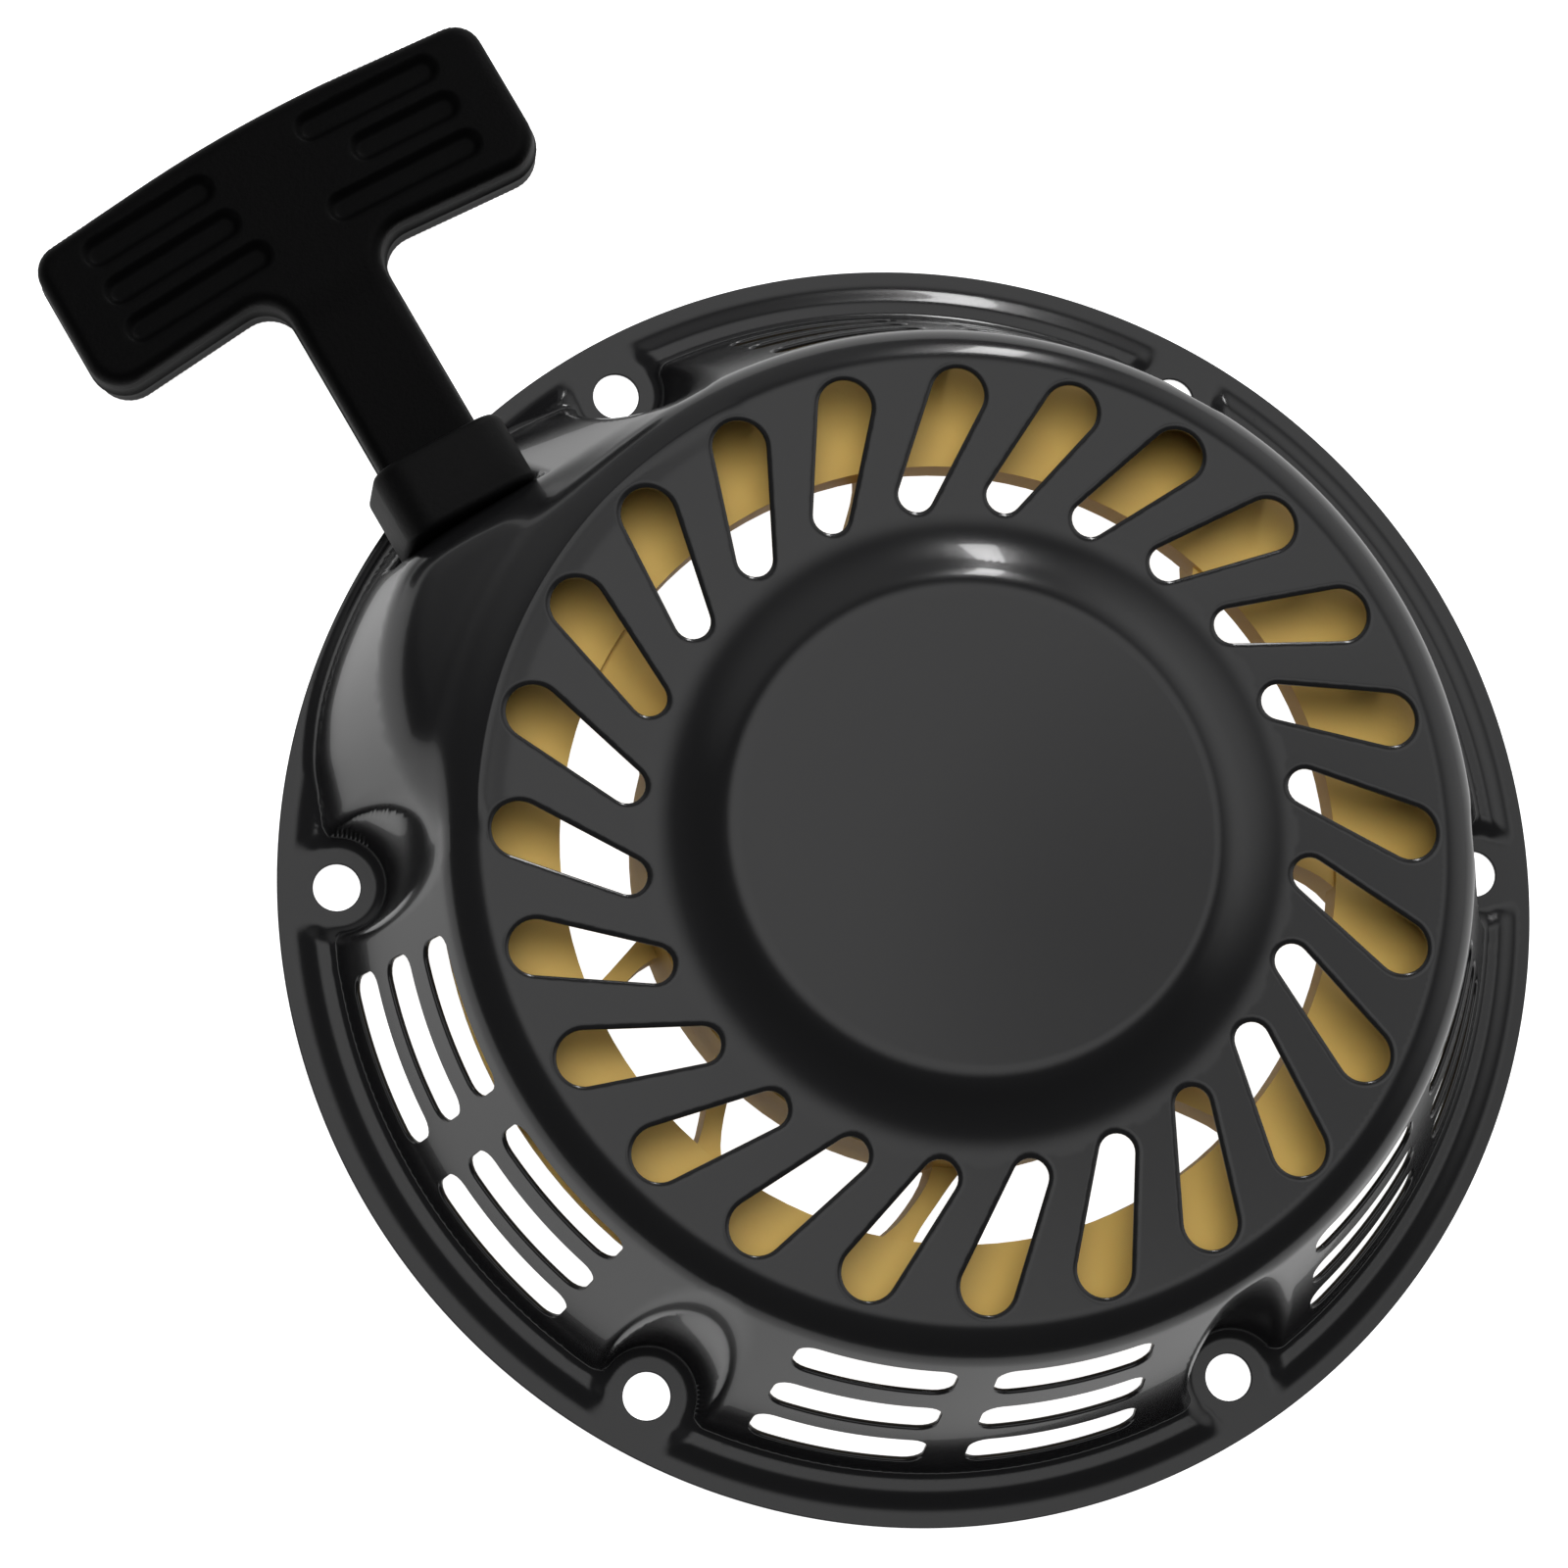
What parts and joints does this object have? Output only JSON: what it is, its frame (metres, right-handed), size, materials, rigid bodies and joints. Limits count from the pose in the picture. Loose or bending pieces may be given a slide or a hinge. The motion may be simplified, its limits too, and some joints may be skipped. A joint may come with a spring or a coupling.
{
  "type": "recoil starter",
  "caption": "Pull-rope recoil starter: round pressed steel case with air slots, rope reel, return spring, swinging ratchets and a T-grip.",
  "frame": {"origin": "centre of the flange's bolt circle on the mounting plane (the back face of the flange)", "axes": "+Z along the reel axis, from the engine to the outside of the case; +Y along the pull of the rope and grip; +X completes a right-handed frame"},
  "size_m": [0.223, 0.2771, 0.0539],
  "materials": {
    "case_paint": "gloss",
    "plated_steel": "satin",
    "zinc_yellow": "satin",
    "spring_steel": "satin",
    "ratchet_steel": "matte",
    "reel_nylon": "satin",
    "black_plastic": "satin",
    "grip_plastic": "satin",
    "rope": "matte"
  },
  "bodies": {
    "case": {"starter_case": "case_paint", "reinforcing_plate": "plated_steel", "centre_post": "plated_steel", "spring_arbor": "plated_steel", "setting_screw": "zinc_yellow", "screw_washer": "plated_steel", "friction_spring": "spring_steel", "rope_guide": "black_plastic", "guide_ferrule": "plated_steel", "rope_lead": "rope"},
    "reel": {"rope_reel": "reel_nylon", "spring_cover": "plated_steel", "recoil_spring": "spring_steel", "rope_coil": "rope", "reel_knot": "rope", "ratchet_spring_a": "spring_steel", "ratchet_spring_b": "spring_steel"},
    "ratchet_a": {"ratchet_a": "ratchet_steel"},
    "ratchet_b": {"ratchet_b": "ratchet_steel"},
    "guide": {"ratchet_guide": "black_plastic"},
    "grip": {"pull_grip": "grip_plastic", "grip_washer": "plated_steel", "grip_knot": "rope"}
  },
  "joints": [
    {"name": "reel_spin", "type": "hinge", "parent": "case", "child": "reel", "pos_m": [0, 0, 0.022], "axis": [0, 0, -1], "range_deg": [0, 930], "stiffness_Nm_per_rad": 0.004, "springref_deg": -343.77, "deforming": ["recoil_spring"]},
    {"name": "grip_pull", "type": "slide", "parent": "case", "child": "grip", "axis": [0, 1, 0], "range_m": [0, 1.25], "deforming": ["rope_lead"]},
    {"name": "guide_turn", "type": "hinge", "parent": "reel", "child": "guide", "pos_m": [0, 0, 0.0138], "axis": [0, 0, 1], "range_deg": [0, 11.3]},
    {"name": "ratchet_a_swing", "type": "hinge", "parent": "reel", "child": "ratchet_a", "pos_m": [0.0135, 0.02338, 0.0198], "axis": [0, 0, 1], "range_deg": [0, 35.1], "stiffness_Nm_per_rad": 0.01, "springref_deg": -17.19, "deforming": ["ratchet_spring_a"]},
    {"name": "ratchet_b_swing", "type": "hinge", "parent": "reel", "child": "ratchet_b", "pos_m": [-0.0135, -0.02338, 0.0198], "axis": [0, 0, 1], "range_deg": [0, 35.1], "stiffness_Nm_per_rad": 0.01, "springref_deg": -17.19, "deforming": ["ratchet_spring_b"]}
  ],
  "couplings": [
    {"joint": "grip_pull", "follows": "reel_spin", "m_per_rad": 0.0769},
    {"joint": "ratchet_a_swing", "follows": "guide_turn", "ratio": 3.1},
    {"joint": "ratchet_b_swing", "follows": "guide_turn", "ratio": 3.1}
  ]
}
